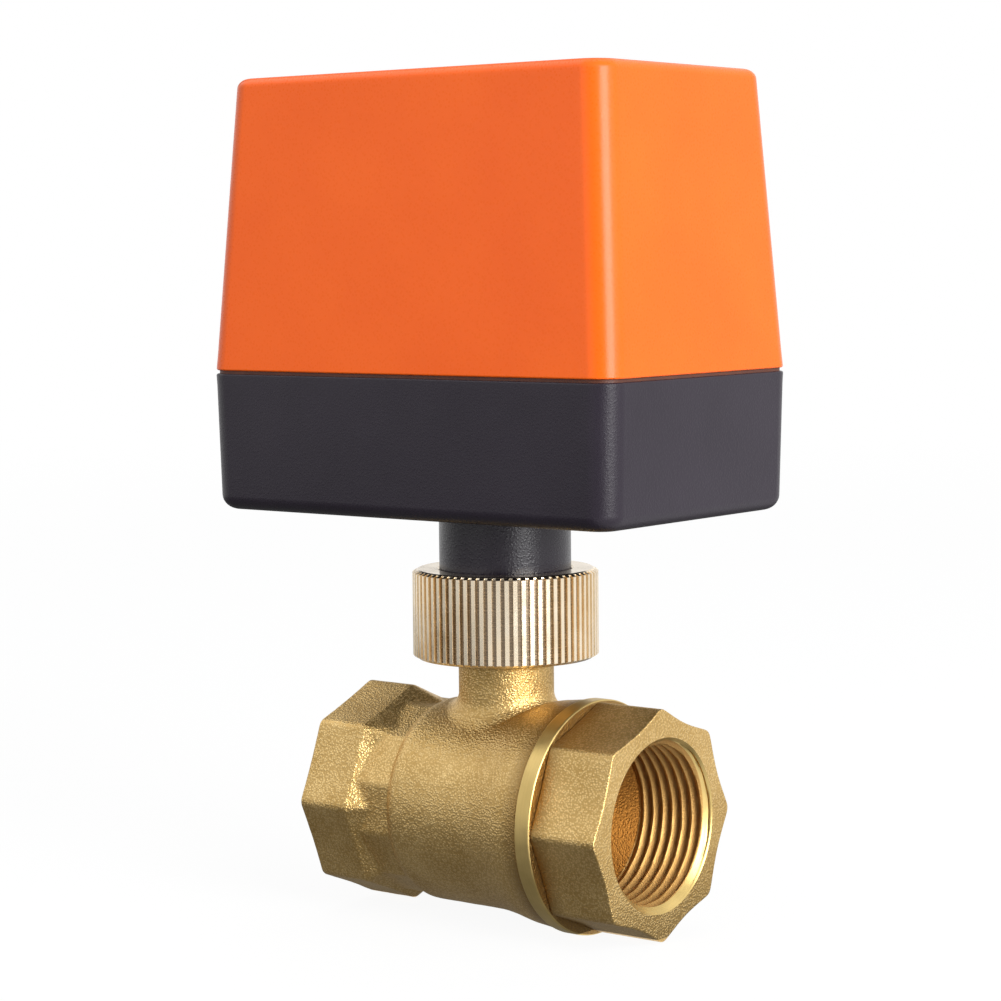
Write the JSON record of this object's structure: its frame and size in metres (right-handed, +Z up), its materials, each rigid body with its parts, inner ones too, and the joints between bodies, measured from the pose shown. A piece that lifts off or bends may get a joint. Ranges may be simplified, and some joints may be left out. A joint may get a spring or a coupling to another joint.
{
  "type": "motorized ball valve",
  "caption": "Two-way brass ball valve with threaded ports, turned a quarter turn by a geared electric actuator held on its stem tower by a knurled union nut.",
  "frame": {"origin": "on the flow axis at the inlet port, where its thread starts, 1.44 mm inside the inlet face", "axes": "+X along the flow towards the outlet, +Z up the stem towards the actuator, +Y towards the cable gland"},
  "size_m": [0.0783, 0.0615, 0.1326],
  "materials": {
    "body_brass": "shot-blasted forged brass",
    "connector_brass": "shot-blasted forged brass with turned faces",
    "seal_fibre": "compressed fibre",
    "ball_chrome": "polished chrome plate",
    "seat_ptfe": "white PTFE",
    "stem_brass": "turned brass",
    "seal_rubber": "black nitrile rubber",
    "nut_brass": "turned and knurled, pale plated brass",
    "spring_steel": "spring steel",
    "base_plastic": "fine-textured black moulding",
    "cover_plastic": "semi-gloss orange moulding",
    "screw_steel": "zinc-plated steel",
    "shaft_steel": "ground steel",
    "bush_bronze": "sintered bronze",
    "gear_plastic": "natural acetal",
    "cam_plastic": "red acetal",
    "plate_steel": "zinc-plated sheet",
    "pillar_brass": "turned brass",
    "motor_steel": "plated steel can",
    "motor_plastic": "black moulding",
    "coil_copper": "enamelled copper",
    "rotor_ferrite": "dark ferrite",
    "pinion_brass": "cut brass",
    "board_green": "solder-masked glass epoxy",
    "relay_case": "blue case",
    "capacitor_sleeve": "dark shrink sleeve",
    "terminal_plastic": "green polyamide",
    "switch_plastic": "black phenolic",
    "gland_plastic": "black polyamide"
  },
  "bodies": {
    "valve": {"valve_body": "body_brass", "end_connector": "connector_brass", "body_seal": "seal_fibre", "seat_ring_inlet": "seat_ptfe", "seat_ring_outlet": "seat_ptfe", "stem_thrust_washer": "seat_ptfe", "neck_seal": "seal_rubber"},
    "ball_and_stem": {"ball": "ball_chrome", "stem": "stem_brass", "stem_o_rings": "seal_rubber"},
    "actuator": {"actuator_base": "base_plastic", "actuator_cover": "cover_plastic", "cover_gasket": "seal_rubber", "cover_screws": "screw_steel", "neck_snap_ring": "spring_steel", "output_bush": "bush_bronze", "idler_pins": "shaft_steel", "gearbox_plate": "plate_steel", "plate_pillars": "pillar_brass", "plate_screws": "screw_steel", "motor_can": "motor_steel", "motor_end_cap": "motor_plastic", "motor_bearings": "bush_bronze", "motor_coil": "coil_copper", "motor_screws": "screw_steel", "circuit_board": "board_green", "relays": "relay_case", "capacitor": "capacitor_sleeve", "terminal_block": "terminal_plastic", "terminal_screws": "screw_steel", "limit_switch_open": "switch_plastic", "limit_switch_closed": "switch_plastic", "lever_pins": "spring_steel", "switch_screws": "screw_steel", "gland_body": "gland_plastic", "gland_seal": "seal_rubber", "gland_locknut": "gland_plastic"},
    "output": {"output_shaft": "shaft_steel", "output_gear": "gear_plastic", "shaft_clip": "spring_steel", "switch_cam": "cam_plastic"},
    "idler_b": {"idler_gear_b": "gear_plastic"},
    "idler_a": {"idler_gear_a": "gear_plastic"},
    "rotor": {"motor_rotor": "rotor_ferrite", "motor_shaft": "shaft_steel", "motor_pinion": "pinion_brass"},
    "union_nut": {"union_nut": "nut_brass"},
    "lever_open": {"switch_lever_open": "spring_steel"},
    "lever_closed": {"switch_lever_closed": "spring_steel"},
    "gland_nut": {"gland_nut": "gland_plastic"}
  },
  "joints": [
    {"name": "actuator_lift", "type": "slide", "parent": "valve", "child": "actuator", "axis": [0, 0, 1], "range_m": [0, 0.03]},
    {"name": "output_turn", "type": "hinge", "parent": "actuator", "child": "output", "pos_m": [0.02696, 0, 0.0547], "axis": [0, 0, 1], "range_deg": [0, 90]},
    {"name": "stem_turn", "type": "hinge", "parent": "valve", "child": "ball_and_stem", "pos_m": [0.02696, 0, 0], "axis": [0, 0, 1], "range_deg": [0, 90]},
    {"name": "idler_b_turn", "type": "hinge", "parent": "actuator", "child": "idler_b", "pos_m": [0.01076, 0.00688, 0.057], "axis": [0, 0, 1], "range_deg": [-193.5, 0.5]},
    {"name": "idler_a_turn", "type": "hinge", "parent": "actuator", "child": "idler_a", "pos_m": [0.00596, -0.00542, 0.06], "axis": [0, 0, 1], "range_deg": [-0.5, 414]},
    {"name": "motor_turn", "type": "hinge", "parent": "actuator", "child": "rotor", "pos_m": [0.00145, 0.00461, 0.07], "axis": [0, 0, 1], "range_deg": [-887, 0.5]},
    {"name": "union_nut_turn", "type": "hinge", "parent": "actuator", "child": "union_nut", "pos_m": [0.02696, 0, 0.0307], "axis": [0, 0, 1], "continuous": true},
    {"name": "gland_nut_turn", "type": "hinge", "parent": "actuator", "child": "gland_nut", "pos_m": [0.03696, 0.032, 0.0569], "axis": [0, 1, 0], "continuous": true},
    {"name": "lever_open_press", "type": "hinge", "parent": "actuator", "child": "lever_open", "pos_m": [0.03656, -0.009, 0.0693], "axis": [0, 0, -1], "range_deg": [0, 3.5], "stiffness_Nm_per_rad": 0.002},
    {"name": "lever_closed_press", "type": "hinge", "parent": "actuator", "child": "lever_closed", "pos_m": [0.03656, -0.009, 0.0759], "axis": [0, 0, -1], "range_deg": [0, 3.5], "stiffness_Nm_per_rad": 0.002}
  ],
  "couplings": [
    {"joint": "stem_turn", "follows": "output_turn", "ratio": 1},
    {"joint": "idler_b_turn", "follows": "output_turn", "ratio": -2.1429},
    {"joint": "idler_a_turn", "follows": "output_turn", "ratio": 4.5918},
    {"joint": "motor_turn", "follows": "output_turn", "ratio": -9.8397}
  ]
}
